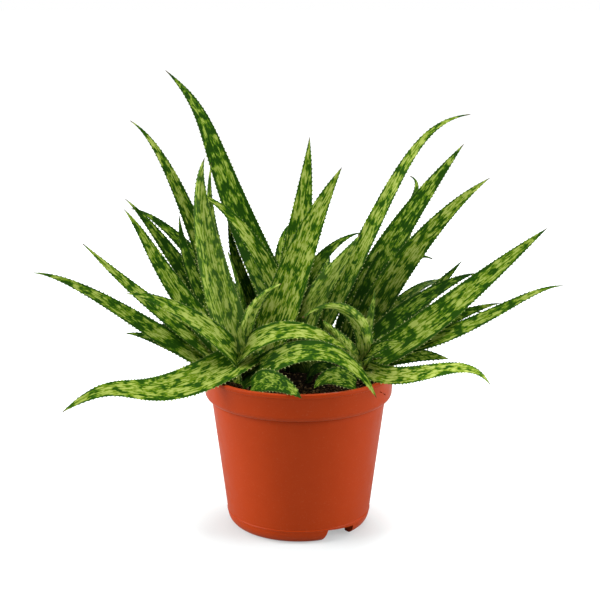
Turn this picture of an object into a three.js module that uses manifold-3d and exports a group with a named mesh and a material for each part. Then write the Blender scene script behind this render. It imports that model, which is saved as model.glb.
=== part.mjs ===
// A clump of spotted aloe in a 12 cm nursery pot. Millimetres, +Z up.
// The origin is on the floor, on the pot's axis. -Y is the front.
import * as THREE from "three";
import { mergeVertices } from "three/addons/utils/BufferGeometryUtils.js";
import Module from "manifold-3d";

const wasm = await Module();
wasm.setup();

// Driving sizes of the pot.
const RIM_R = 60;
const POT_H = 99.5;
const COLLAR_BOTTOM = 81.7;
const COLLAR_R = 58.4;
const COLLAR_ROUND = 4;
const WALL_TOP_R = 54.4;
const FOOT_R = 45;
const FOOT_H = 8;
const FOOT_STEPS = 3;
const FOOT_FLAT_R = 38.5;
const FOOT_RING_W = 2.6;
const WALL = 2;
const PANEL_Z = 5;
const LIP_H = 2.2;
const EDGE = 0.6;
const LINE_PROUD = 0.35;
const POT_SIDES = 42;
const NOTCH_AT = THREE.MathUtils.degToRad(-55.5);
const NOTCH_W = 19;
const NOTCH_H = 4.6;
const NOTCH_TAPER = 5;
const NOTCH_DRAFT = 1.2;
const NOTCH_FROM_R = 32;
const DRAIN_COUNT = 6;
const DRAIN_R = 4;
const DRAIN_RING_R = 24;
const DRAIN_SIDES = 10;

// Driving sizes of the soil and the stems.
const GAP = 0.35;
const SOIL_TOP = 94;
const SOIL_MOUND = 3;
const SOIL_ROUGH = 1.1;
const SOIL_SIDES = 34;
const SOIL_RINGS = 8;
const SOIL_EDGE = 1;
const SOIL_TOP_BAND = 0.5;
const SOIL_FOOT_IN = 3;
const SOIL_SEED = 41;
const STEM_FOOT = 62;
const STEM_R = 6;
const STEM_SIDES = 10;
const STEM_ROOT_SHARE = 0.7;
const STEM_ROOT_H = 8;
const STEM_TIP_SHARE = 0.55;
const STEM_TAPER_H = 14;
const STEM_ROUND = 3;

// Driving sizes of a leaf: its section is a crescent with a keel, and teeth stand on both margins.
const STATION_STEP = 15;
const FEWEST_STATIONS = 5;
const LEAF_THICK = 5;
const TIP_THICK = 1;
const FULL_WIDTH = 16;
const FLANK_DEPTH = 0.78;
const CHANNEL = 0.13;
const MIDRIB_IN = 0.3;
const SLIVER = 0.05;
const SHOULDER_AT = 0.5;
const TAPER = 2.2;
const BASE_NARROW = 0.92;
const BASE_SPREAD_END = 0.15;
const BASE_TURN = 0.7;
const TURN_END = 0.4;
const TOOTH_H = 1.2;
const TOOTH_W = 1;
const TOOTH_SHARE = 0.8;
const TOOTH_SWEEP = 0.6;

// How much larger a cutter is than its blade: beyond its margins, out of its faces, and up at its margins.
const NO_EXTRA = { side: 0, face: 0, lift: 0 };
const CUTTER_EXTRA = { side: 2.6, face: 0.6, lift: 0.45 };

const finishes = {
  pot: new THREE.MeshStandardMaterial({ color: 0xb4492b, roughness: 0.42, metalness: 0 }),
  soil: new THREE.MeshStandardMaterial({ color: 0x2a1c14, roughness: 0.95, metalness: 0 }),
  stem: new THREE.MeshStandardMaterial({ color: 0x7f8f52, roughness: 0.6, metalness: 0 }),
  leaf: new THREE.MeshStandardMaterial({ color: 0x5d8a35, roughness: 0.45, metalness: 0 }),
};

// Crowns: where each short stem stands, and how high it reaches into its leaves.
const crowns = {
  left: { at: [-31, -12], top: 106 },
  back_left: { at: [-25, 24], top: 106 },
  centre: { at: [2, 8], top: 106 },
  back_right: { at: [29, 24], top: 106 },
  right: { at: [42, -10], top: 110 },
};

// Each leaf: its name, the base, rise, reach and tip of the cubic curve along its midrib, its width
// where it is broadest, and the degrees it is turned about its midrib. The curve starts at the base
// towards the rise point, and comes to the tip from the reach point. Inner leaves come first.
const leaves = [
  ["left_upright", [-30, -17, 94], [-50, -21, 152], [-64, -28, 213], [-54, -34, 235], 23, -45],
  ["left_sliver", [-32, -9, 119], [-33, -6, 142], [-38, -3, 158], [-43, 0, 173], 8, -20],
  ["left_inner", [-34, -10, 105], [-53, -2, 137], [-72, 6, 157], [-74, 14, 194], 12.5, 34],
  ["left_spotted", [-35, -10, 100], [-88, -6, 160], [-89, -1, 179], [-107, 4, 199], 16, 55],
  ["left_streaked", [-36, -12, 98], [-68, -13, 126], [-96, -13, 146], [-130, -14, 181], 13, 50],
  ["left_bright", [-35, -15, 98], [-28, -28, 117], [-80, -40, 158], [-100, -52, 158], 15, 70],
  ["left_curled", [-32, -14, 112], [-35, -22, 130], [-26, -32, 154], [-10, -42, 162], 9, 36],
  ["arch_upper", [-39, -20, 107], [-22, -28, 136], [7, -38, 138], [30, -46, 122], 15, -55],
  ["arch_lower", [-39, -22, 90], [-8, -36, 127], [27, -52, 135], [45, -68, 100], 17, -60],
  ["left_long", [-39, -13, 97], [-80, -19, 118], [-129, -24, 164], [-158, -30, 166], 13, 60],
  ["left_low", [-41, -8, 103], [-67, -7, 108], [-86, -4, 121], [-107, -2, 122], 14, 40],
  ["left_sweeping", [-23, -15, 117], [-105, -64, 78], [-88, -84, 130], [-131, -98, 101], 22, 43],
  ["back_left_inner", [-28, 23, 106], [-28, 22, 136], [-42, 21, 161], [-44, 20, 189], 13, 70],
  ["back_left_upright", [-30, 21, 100], [-44, 16, 141], [-60, 12, 191], [-53, 8, 227], 10, -50],
  ["back_left_side", [-30, 24, 98], [-66, 25, 141], [-90, 25, 186], [-109, 26, 202], 15, 60],
  ["back_left_tall", [-33, 26, 94], [-60, 33, 157], [-79, 39, 233], [-107, 45, 249], 15, 50],
  ["back_left_far", [-33, 28, 92], [-35, 39, 131], [-83, 51, 187], [-110, 62, 190], 14, 45],
  ["back_left_low", [-34, 22, 92], [-65, 16, 106], [-78, 10, 128], [-96, 4, 124], 13, 50],
  ["centre_channelled", [-26, -12, 102], [-10, -10, 134], [1, -9, 185], [26, -14, 227], 24, -85],
  ["centre_upright", [2, 11, 95], [-12, 20, 142], [3, 28, 172], [7, 34, 240], 22, -5],
  ["centre_arching", [6, 9, 100], [-15, 18, 117], [6, 26, 173], [40, 34, 179], 14, -40],
  ["centre_broad", [8, 0, 94], [-11, -6, 122], [10, -11, 146], [37, -18, 187], 20, 50],
  ["centre_tallest", [6, 12, 100], [-65, 25, 236], [-46, 41, 246], [-85, 56, 280], 22, 45],
  ["centre_curved", [-6, 4, 96], [8, 2, 116], [-31, -1, 205], [-63, -4, 209], 15, 70],
  ["centre_ribbon", [6, 16, 100], [63, 18, 218], [69, 19, 250], [106, 20, 255], 14, -55],
  ["centre_behind", [0, 16, 94], [-12, 33, 139], [-15, 50, 174], [-4, 66, 180], 18, 0],
  ["back_right_hooked", [31, 27, 106], [53, 43, 172], [90, 58, 205], [73, 74, 210], 13, -30],
  ["back_right_dark", [33, 28, 96], [28, 37, 130], [75, 48, 196], [107, 58, 233], 22, -45],
  ["back_right_tall", [36, 25, 94], [39, 28, 125], [83, 31, 190], [121, 34, 214], 20, -60],
  ["back_right_short", [36, 28, 92], [42, 36, 123], [68, 44, 171], [88, 52, 158], 12, -45],
  ["back_right_broad", [34, 32, 92], [44, 49, 130], [62, 67, 140], [78, 84, 177], 13, -30],
  ["right_thin", [44, -14, 106], [37, -15, 117], [45, -17, 135], [46, -18, 153], 7, 30],
  ["right_dark", [45, -7, 104], [33, -3, 118], [98, 4, 160], [111, 10, 157], 14, -50],
  ["right_rising", [47, -4, 101], [47, 5, 112], [72, 17, 129], [104, 28, 162], 13, -45],
  ["right_hooked", [38, -15, 102], [48, -27, 137], [22, -40, 159], [2, -52, 144], 11, -50],
  ["right_pale", [37, -15, 100], [33, -23, 116], [23, -32, 127], [14, -40, 140], 12, -50],
  ["right_big", [41, -16, 107], [68, -15, 117], [116, -12, 163], [150, -12, 190], 19, -60],
  ["right_short", [39, -20, 111], [46, -25, 119], [55, -30, 124], [63, -34, 124], 8, -60],
  ["right_middle", [45, -5, 107], [76, -7, 124], [106, -7, 140], [124, -6, 142], 12, -55],
  ["right_long", [44, -12, 112], [104, -18, 120], [134, -27, 158], [157, -34, 159], 11, -60],
  ["right_flat", [53, -8, 105], [63, -8, 110], [75, -8, 111], [93, -8, 107], 11, -60],
  ["right_sweeping", [41, -20, 104], [67, -46, 96], [95, -72, 134], [106, -96, 116], 12, -60],
  ["front_dark", [4, -16, 91], [6, -26, 108], [18, -34, 112], [28, -38, 105], 13, -40],
  ["pup_left", [-28, -38, 97], [-22, -44, 107], [-8, -54, 107], [2, -65, 99], 15, -60],
  ["pup_right", [34, -38, 99], [28, -42, 107], [14, -47, 110], [9, -52, 101], 14, 60],
  ["rear_left_far", [-36, 27, 94], [-58, 44, 126], [-74, 64, 138], [-86, 80, 116], 14, 10],
  ["rear_left_mid", [-30, 32, 93], [-41, 56, 137], [-52, 82, 151], [-62, 98, 127], 15, 16],
  ["rear_left_up", [-25, 31, 98], [-26, 50, 140], [-28, 72, 158], [-30, 94, 166], 16, 0],
  ["rear_centre_low", [-8, 15, 92], [-12, 50, 132], [-14, 84, 130], [-16, 101, 104], 15, 0],
  ["rear_centre_up", [9, 17, 97], [15, 46, 143], [17, 71, 158], [21, 96, 155], 16, -7],
  ["rear_right_low", [28, 33, 93], [31, 57, 127], [41, 86, 130], [48, 99, 107], 15, -8],
  ["rear_right_far", [36, 27, 94], [62, 46, 130], [84, 66, 148], [108, 78, 136], 14, -10],
  ["rear_right_side", [47, -1, 98], [70, 20, 126], [96, 40, 134], [122, 50, 122], 13, -20],
];

// A fixed stream of numbers from 0 to 1, the same every run.
function seededStream(seed) {
  let state = seed;
  return () => {
    state = (state * 16807) % 2147483647;
    return state / 2147483647;
  };
}

function toSolid(geometry) {
  const plain = geometry.clone();
  plain.deleteAttribute("normal");
  plain.deleteAttribute("uv");
  const merged = mergeVertices(plain, 1e-4);
  const vertProperties = new Float32Array(merged.attributes.position.array);
  const triVerts = new Uint32Array(merged.index.array);
  return new wasm.Manifold(new wasm.Mesh({ numProp: 3, vertProperties, triVerts }));
}

function toGeometry(solid) {
  const mesh = solid.getMesh();
  const geometry = new THREE.BufferGeometry();
  geometry.setAttribute("position", new THREE.BufferAttribute(mesh.vertProperties, 3));
  geometry.setIndex(new THREE.BufferAttribute(mesh.triVerts, 1));
  geometry.computeVertexNormals();
  return geometry;
}

function subtractAll(solid, cutters) {
  return cutters.reduce((left, cutter) => left.subtract(cutter), solid);
}

function lathe(profile, sides) {
  const points = profile.map(([r, z]) => new THREE.Vector2(r, z));
  return new THREE.LatheGeometry(points, sides).rotateX(Math.PI / 2);
}

// Points of a quarter round from the floor up to a wall that leans out.
function roundedFoot(flatR, wallR, height, steps) {
  const points = [];
  for (let i = 0; i <= steps; i += 1) {
    const turn = (i / steps) * (Math.PI / 2);
    points.push([flatR + (wallR - flatR) * Math.sin(turn), height * (1 - Math.cos(turn))]);
  }
  return points;
}

function wallRadiusAt(z) {
  return FOOT_R + ((WALL_TOP_R - FOOT_R) * (z - FOOT_H)) / (COLLAR_BOTTOM - FOOT_H);
}

function potProfile() {
  const panelTop = PANEL_Z + WALL;
  const outside = [
    [0, PANEL_Z],
    [FOOT_FLAT_R - FOOT_RING_W, PANEL_Z],
    [FOOT_FLAT_R - FOOT_RING_W, 0],
    ...roundedFoot(FOOT_FLAT_R, FOOT_R, FOOT_H, FOOT_STEPS),
    [FOOT_R + LINE_PROUD, FOOT_H + LINE_PROUD],
    [wallRadiusAt(FOOT_H + 3 * LINE_PROUD), FOOT_H + 3 * LINE_PROUD],
    [WALL_TOP_R, COLLAR_BOTTOM],
    [COLLAR_R - 0.4 * COLLAR_ROUND, COLLAR_BOTTOM + COLLAR_ROUND / 8],
    [COLLAR_R - 0.1 * COLLAR_ROUND, COLLAR_BOTTOM + COLLAR_ROUND / 2],
    [COLLAR_R, COLLAR_BOTTOM + COLLAR_ROUND],
    [RIM_R - EDGE, POT_H - LIP_H - EDGE],
    [RIM_R, POT_H - LIP_H],
    [RIM_R, POT_H - EDGE],
    [RIM_R - EDGE, POT_H],
  ];
  const inside = [
    [RIM_R - WALL - EDGE / 2, POT_H],
    [RIM_R - WALL - EDGE, POT_H - EDGE],
    [COLLAR_R - WALL, COLLAR_BOTTOM + COLLAR_ROUND],
    [WALL_TOP_R - WALL, COLLAR_BOTTOM],
    [wallRadiusAt(panelTop + WALL) - WALL, panelTop + WALL],
    [wallRadiusAt(panelTop) - 2 * WALL, panelTop],
    [0, panelTop],
  ];
  return [...outside, ...inside];
}

// A tapered slot, cut through the foot ring from outside to inside at one heading.
function notchCutter(heading) {
  const half = NOTCH_W / 2;
  const depth = FOOT_R - DRAIN_RING_R;
  const outline = new THREE.Shape([
    new THREE.Vector2(-half, -1),
    new THREE.Vector2(half, -1),
    new THREE.Vector2(half - NOTCH_DRAFT, NOTCH_H),
    new THREE.Vector2(NOTCH_TAPER - half, NOTCH_H),
  ]);
  const slot = new THREE.ExtrudeGeometry(outline, { depth, bevelEnabled: false, steps: 1 });
  slot.rotateX(Math.PI / 2).rotateZ(Math.PI / 2);
  slot.translate(NOTCH_FROM_R, 0, 0).rotateZ(heading);
  return toSolid(slot);
}

function drainCutter(heading) {
  const hole = new THREE.CylinderGeometry(DRAIN_R, DRAIN_R, 4 * WALL, DRAIN_SIDES).rotateX(Math.PI / 2);
  hole.translate(DRAIN_RING_R * Math.cos(heading), DRAIN_RING_R * Math.sin(heading), PANEL_Z + WALL / 2);
  return toSolid(hole);
}

function potSolid() {
  const cutters = [notchCutter(NOTCH_AT), notchCutter(NOTCH_AT + Math.PI)];
  for (let i = 0; i < DRAIN_COUNT; i += 1) {
    cutters.push(drainCutter((i / DRAIN_COUNT) * 2 * Math.PI));
  }
  return subtractAll(toSolid(lathe(potProfile(), POT_SIDES)), cutters);
}

// The soil fills the pot up to a low, crumbly mound.
function soilSolid(lift, grow) {
  const soilFoot = PANEL_Z + WALL + GAP;
  const shoulderR = COLLAR_R - WALL - GAP;
  const profile = [
    [0, soilFoot],
    [wallRadiusAt(soilFoot) - WALL - SOIL_FOOT_IN, soilFoot],
    [WALL_TOP_R - WALL - 2 * GAP, COLLAR_BOTTOM],
    [shoulderR - GAP, COLLAR_BOTTOM + COLLAR_ROUND + SOIL_EDGE],
    [shoulderR, SOIL_TOP - SOIL_EDGE],
  ];
  for (let i = SOIL_RINGS; i >= 0; i -= 1) {
    const share = i / SOIL_RINGS;
    const height = SOIL_TOP + lift + SOIL_MOUND * (1 - share * share);
    profile.push([shoulderR * share + (i > 0 ? grow : 0), height]);
  }
  const body = lathe(profile, SOIL_SIDES);
  body.deleteAttribute("normal");
  body.deleteAttribute("uv");
  const merged = mergeVertices(body, 1e-3);
  const random = seededStream(SOIL_SEED);
  const place = merged.attributes.position;
  for (let i = 0; i < place.count; i += 1) {
    const crumb = (random() - 0.5) * 2 * SOIL_ROUGH;
    const height = place.getZ(i);
    if (height > SOIL_TOP + lift - SOIL_TOP_BAND) {
      place.setZ(i, height + crumb);
    }
  }
  return toSolid(merged);
}

function stemSolid(crown, grow) {
  const profile = [
    [0, STEM_FOOT - grow],
    [STEM_R * STEM_ROOT_SHARE + grow, STEM_FOOT - grow],
    [STEM_R + grow, STEM_FOOT + STEM_ROOT_H],
    [STEM_R + grow, crown.top - STEM_TAPER_H],
    [STEM_R * STEM_TIP_SHARE + grow, crown.top - STEM_ROUND + grow],
    [0, crown.top + grow],
  ];
  return toSolid(lathe(profile, STEM_SIDES).translate(crown.at[0], crown.at[1], 0));
}

// Where a leaf's curve is at a share of its length, with the directions across and out of its upper face.
function leafFrame(curve, across, roll, share) {
  const turn = BASE_TURN + (1 - BASE_TURN) * THREE.MathUtils.smoothstep(share, 0, TURN_END);
  const along = curve.getTangentAt(share);
  const side = across.clone().addScaledVector(along, -across.dot(along)).normalize();
  side.applyAxisAngle(along, -THREE.MathUtils.degToRad(roll) * turn);
  const up = new THREE.Vector3().crossVectors(along, side).normalize();
  return { at: curve.getPointAt(share), along, side, up };
}

function halfWidthAt(share, width) {
  const spread = THREE.MathUtils.smoothstep(share, 0, BASE_SPREAD_END);
  const base = BASE_NARROW + (1 - BASE_NARROW) * spread;
  return (width / 2) * base * (1 - share ** TAPER);
}

function thicknessAt(share, width) {
  const base = LEAF_THICK * Math.min(1, width / FULL_WIDTH);
  return TIP_THICK + (base - TIP_THICK) * (1 - share);
}

// A point beside the midrib, x across the blade and y out of its upper face.
function beside(frame, x, y) {
  return frame.at.clone().addScaledVector(frame.side, x).addScaledVector(frame.up, y);
}

// The points of one cross-section: channel, margins, flanks and keel. extra makes it larger all round.
function section(frame, share, width, extra) {
  const half = halfWidthAt(share, width) + extra.side;
  const thick = thicknessAt(share, width);
  const middle = MIDRIB_IN * thick;
  const dip = CHANNEL * half * (1 - share);
  const marginY = middle + dip + extra.lift;
  const flankY = middle - FLANK_DEPTH * thick - extra.face;
  return {
    channel: beside(frame, 0, middle - dip + extra.face),
    margin: [beside(frame, -half, marginY), beside(frame, half, marginY)],
    flank: [beside(frame, -half * SHOULDER_AT, flankY), beside(frame, half * SHOULDER_AT, flankY)],
    keel: beside(frame, 0, middle - thick - dip / 2 - extra.face),
  };
}

// The points on one margin half way between two cross-sections: a tooth, or in a cutter one plain point.
function marginPoints(frame, share, width, extra, sign) {
  const half = halfWidthAt(share, width) + extra.side;
  const lift = CHANNEL * half * (1 - share) + MIDRIB_IN * thicknessAt(share, width) + extra.lift;
  const put = (x, along) => beside(frame, sign * x, lift).addScaledVector(frame.along, along);
  if (extra === CUTTER_EXTRA) {
    return [put(half, 0)];
  }
  const reach = Math.min(TOOTH_W, half * TOOTH_SHARE);
  return [put(half, -reach), put(half + TOOTH_H, TOOTH_SWEEP), put(half, reach)];
}

// Fills the strip between an inner line, from near to far, and the edge points beside it.
function fillStrip(face, turned, near, far, edge) {
  const top = (edge.length - 1) / 2;
  for (let i = 0; i + 1 < edge.length; i += 1) {
    face(turned, i < top ? near : far, edge[i], edge[i + 1]);
  }
  face(turned, near, edge[Math.ceil(top)], far);
}

// Closes a blade: flat across its base, or drawn to its point.
function capBlade(face, row, point) {
  const ring = [row.margin[0], row.channel, row.margin[1], row.flank[1], row.keel, row.flank[0]];
  ring.forEach((corner, i) => {
    const after = ring[(i + 1) % ring.length];
    if (point) {
      face(true, corner, after, point);
    } else if (i > 0 && i + 1 < ring.length) {
      face(false, ring[0], corner, after);
    }
  });
}

// One closed blade. A cutter is a smooth copy, larger all round, that cuts a neighbour clear of it.
function bladeSolid([, base, rise, reach, tip, width, roll], extra) {
  const curve = new THREE.CubicBezierCurve3(...[base, rise, reach, tip].map((p) => new THREE.Vector3(...p)));
  const count = Math.max(FEWEST_STATIONS, Math.round(curve.getLength() / STATION_STEP));
  const across = new THREE.Vector3(base[1] - tip[1], tip[0] - base[0], 0).normalize();
  const frameAt = (share) => leafFrame(curve, across, roll, share);
  const rows = Array.from({ length: count }, (_, i) => section(frameAt(i / count), i / count, width, extra));
  const corners = [];
  const face = (turned, ...points) => corners.push(...(turned ? points.reverse() : points));

  for (let i = 0; i + 1 < count; i += 1) {
    const [here, next] = [rows[i], rows[i + 1]];
    const middle = (i + 0.5) / count;
    [0, 1].forEach((s) => {
      const between = marginPoints(frameAt(middle), middle, width, extra, s === 0 ? -1 : 1);
      const edge = [here.margin[s], ...between, next.margin[s]];
      fillStrip(face, s === 1, here.channel, next.channel, edge);
      fillStrip(face, s === 0, here.flank[s], next.flank[s], edge);
      face(s === 0, here.keel, here.flank[s], next.flank[s]);
      face(s === 0, here.keel, next.flank[s], next.keel);
    });
  }
  capBlade(face, rows[0], null);
  capBlade(face, rows[count - 1], curve.getPointAt(1).addScaledVector(curve.getTangentAt(1), extra.side));
  return toSolid(new THREE.BufferGeometry().setFromPoints(corners));
}

function boxesMeet(a, b) {
  const [p, q] = [a.boundingBox(), b.boundingBox()];
  return [0, 1, 2].every((k) => p.min[k] < q.max[k] && q.min[k] < p.max[k]);
}

// Keeps the main piece of a cut solid and drops the crumbs beside it.
function mainPiece(solid) {
  const pieces = solid.decompose();
  return pieces.reduce((best, piece) => (piece.volume() > best.volume() ? piece : best));
}

function addPart(group, name, solid, material) {
  const mesh = new THREE.Mesh(toGeometry(solid), material);
  mesh.name = name;
  group.add(mesh);
}

function buildPlant() {
  const group = new THREE.Group();
  addPart(group, "pot", potSolid(), finishes.pot);

  const stems = Object.entries(crowns);
  const stemCutters = stems.map(([, crown]) => stemSolid(crown, GAP));
  stems.forEach(([name, crown]) => addPart(group, `stem_${name}`, stemSolid(crown, 0), finishes.stem));

  const taken = [...stemCutters, soilSolid(GAP, 2 * GAP)];
  leaves.forEach((leaf) => {
    const blade = bladeSolid(leaf, NO_EXTRA);
    const cut = subtractAll(blade, taken.filter((other) => boxesMeet(blade, other)));
    addPart(group, `leaf_${leaf[0]}`, mainPiece(cut.simplify(SLIVER)), finishes.leaf);
    taken.push(bladeSolid(leaf, CUTTER_EXTRA));
  });

  addPart(group, "soil", mainPiece(subtractAll(soilSolid(0, 0), stemCutters)), finishes.soil);
  return group;
}

export default buildPlant();
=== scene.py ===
"""The looks of a potted clump of spotted aloe. Metres, +Z up, -Y is the front."""
import math
import random

import bpy
import numpy as np
from mathutils import Matrix, Vector, noise


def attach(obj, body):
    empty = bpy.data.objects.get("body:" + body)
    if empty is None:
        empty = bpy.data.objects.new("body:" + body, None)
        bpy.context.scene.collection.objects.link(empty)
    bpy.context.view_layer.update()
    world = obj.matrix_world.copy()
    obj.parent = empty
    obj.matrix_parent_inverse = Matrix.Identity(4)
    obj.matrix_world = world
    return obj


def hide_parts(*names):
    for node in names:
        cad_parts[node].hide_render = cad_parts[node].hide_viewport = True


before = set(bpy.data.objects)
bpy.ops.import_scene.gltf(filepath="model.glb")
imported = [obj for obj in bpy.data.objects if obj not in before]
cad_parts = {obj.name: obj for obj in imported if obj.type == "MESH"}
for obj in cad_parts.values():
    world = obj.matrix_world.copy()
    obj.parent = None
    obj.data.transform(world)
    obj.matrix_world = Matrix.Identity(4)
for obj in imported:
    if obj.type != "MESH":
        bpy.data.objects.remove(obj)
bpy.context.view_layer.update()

MM = 0.001
TURN = 2 * math.pi

# The camera, fitted to the rim and the foot of the pot.
CAMERA_AT = (0, -0.8, 0.325)
CAMERA_DOWN = math.radians(12.84)
CAMERA_SENSOR = 36
CAMERA_LENS = 79.74
CAMERA_SHIFT_X = 0.0025

# The middle of the shadow painted on the floor by its weaker glow there, a little left of the pot's axis
# and in front of it, in metres.
PAINTED_SHADOW_AT = (-0.006, -0.025, 0)

# How much the floor glows at the pot's foot, around it and far off, and over which distances it changes.
# The weaker glow near the foot is painted shadow, added to the shadow the lights cast.
GLOW_FOOT = 0.4
GLOW_NEAR = 0.78
GLOW_FAR = 1.0
NEAR_SPAN = (0.045, 0.09)
FAR_SPAN = (0.15, 0.9)
FLOOR_SIZE = 60
FLOOR_COLOUR = (0.45, 0.5, 0.505, 1)

# How much light comes from all round.
AMBIENT = 0.22

# The lights, in metres and watts: where each stands, its width and height, and its power.
LIT_AT = (0, 0, 0.13)
LIGHTS = {
    "left_box": ((-1.05, -0.2, 0.5), (0.8, 0.9), 17),
    "right_box": ((1.05, -0.25, 0.45), (0.6, 0.9), 12),
    "overhead": ((0.0, -0.15, 1.3), (0.9, 0.7), 10),
    "rear_box": ((0.1, 1.2, 0.7), (0.9, 0.7), 7),
}

# The pot, in millimetres.
RIM_R = 60
POT_H = 99.5
COLLAR_BOTTOM = 81.7
COLLAR_R = 58.4
COLLAR_ROUND = 4
WALL_TOP_R = 54.4
FOOT_R = 45
FOOT_H = 8
FOOT_FLAT_R = 38.5
FOOT_RING_W = 2.6
WALL = 2
PANEL_Z = 5
LIP_H = 2.2
LIP_IN = 0.75
EDGE_R = 0.6
CREASE = 0.3
LINE_PROUD = 0.4
LINE_H = 1.1
POT_STEPS = 160
DRAIN_STEPS = 40
NOTCH_AT = math.radians(-54.8)
NOTCH_W = 22.8
NOTCH_H = 6.6
NOTCH_SLANT = 2.6
NOTCH_RISE = 1.3
NOTCH_FROM_R = 32
DRAIN_COUNT = 6
DRAIN_R = 4
DRAIN_RING_R = 24
SLIT_DEPTH = 1.4
SLIT_W = 0.6
SLIT_TILT = math.radians(-27)

# Two slits in the collar: heading in degrees, height and length.
SLITS = [(-32.6, 92.9, 3.0), (-27.6, 90.3, 4.6)]

# The soil and the stems, in millimetres.
GAP = 0.35
SOIL_TOP = 94
SOIL_EDGE = 1
SOIL_MOUND = 3
SOIL_STEPS = 120
SOIL_RINGS = 34
SOIL_FOOT_IN = 3
SOIL_TOP_BAND = 0.5
CLOD_SIZE = 5
CLOD_H = 1.4
LUMP_SIZE = 1.6
LUMP_H = 0.7
STEM_FOOT = 62
STEM_R = 6
STEM_STEPS = 32
STEM_ROOT_H = 8
STEM_TAPER_H = 14
SCAR_COUNT = 9
SCAR_DEPTH = 0.35

# Loose bits on the soil: how many, their random seed, least and greatest size, and how deep they sink.
CRUMBS = {"count": 1500, "seed": 5, "sizes": (0.5, 2.2), "sunk": 0.9}
HUSKS = {"count": 1400, "seed": 11, "sizes": (0.5, 1.4), "sunk": 0.2}
FIBRES = {"count": 320, "seed": 8, "sizes": (0.5, 1.3), "sunk": 0.5}
BITS_IN = 2.5
BIT_TILT = 0.5
CRUMB_SHAPE = (1, 0.75, 0.6)
CRUMB_ROUGH = 0.35
CRUMB_ROUGH_SIZE = 0.7
FIBRE_R = 0.16
FIBRE_LENGTH = 8
FIBRE_SAG = 1.2
FIBRE_SWAY = 0.8

# A leaf blade, in millimetres.
RING = 24
TOOTH_STEP = 2.6
TOOTH_H = 1.25
TOOTH_SWEEP = 0.6
LEAF_THICK = 5
TIP_THICK = 1
FULL_WIDTH = 16
CHANNEL = 0.13
MIDRIB_IN = 0.3
TAPER = 2.2
BASE_NARROW = 0.92
BASE_SPREAD_END = 0.15
BASE_TURN = 0.7
TURN_END = 0.4
FINE_LENGTH = 90
FINEST = 1.8

# Leaf colours, each for a dark leaf and for a light one.
PATCH = ((0.006, 0.025, 0.002, 1), (0.028, 0.096, 0.005, 1))
MIDDLE = ((0.022, 0.072, 0.004, 1), (0.085, 0.200, 0.009, 1))
GROUND = ((0.060, 0.130, 0.006, 1), (0.205, 0.310, 0.012, 1))
STREAK = ((0.175, 0.260, 0.034, 1), (0.500, 0.580, 0.135, 1))
UNDERSIDE = (0.220, 0.290, 0.085, 1)
HORNY_EDGE = (0.36, 0.44, 0.13, 1)
IN_SHADE = (0.006, 0.022, 0.004, 1)
TOOTH_COLOUR = (0.52, 0.54, 0.22, 1)
DRY_TIP = (0.10, 0.065, 0.03, 1)
STEM_GREENS = ((0.03, 0.07, 0.012, 1), (0.16, 0.19, 0.05, 1))

# Where leaves lie in shade, in metres: near the soil in the middle of the clump, and behind it.
DEEP_HEIGHT = (0.098, 0.122)
DEEP_RADIUS = (0.032, 0.046)
BEHIND_BACK = (-0.012, 0.015)
BEHIND_HEIGHT = (0.115, 0.19)

# Pot and soil colours, and how far from the axis shade is painted on the soil, in metres.
CLAY = ((0.39, 0.035, 0.001, 1), (0.43, 0.041, 0.002, 1))
CLAY_DUST = (0.62, 0.30, 0.20, 1)
# Painted shade under the collar.
PAINTED_COLLAR_SHADE = (0.20, 0.016, 0.001, 1)
WARM_SHEEN = (1, 0.72, 0.45, 1)
SOIL_PAINTED_SHADE = (0.002, 0.0015, 0.001, 1)
SOIL_SHADE_RADIUS = (0.026, 0.044)

# The soil's finishes: a dark and a light colour, and how coarse the grain is.
SOIL_FINISHES = {
    "peat": ((0.005, 0.0035, 0.002, 1), (0.10, 0.052, 0.020, 1), 0.7),
    "peat_crumb": ((0.008, 0.005, 0.003, 1), (0.34, 0.20, 0.08, 1), 2.6),
    "coir_husk": ((0.10, 0.055, 0.020, 1), (0.75, 0.53, 0.27, 1), 3.0),
    "coir_fibre": ((0.22, 0.13, 0.05, 1), (0.62, 0.42, 0.20, 1), 0.6),
}

# Crowns: where each short stem stands, and how high it reaches, in millimetres.
CROWNS = {
    "left": ((-31, -12), 106),
    "back_left": ((-25, 24), 106),
    "centre": ((2, 8), 106),
    "back_right": ((29, 24), 106),
    "right": ((42, -10), 110),
}
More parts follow.
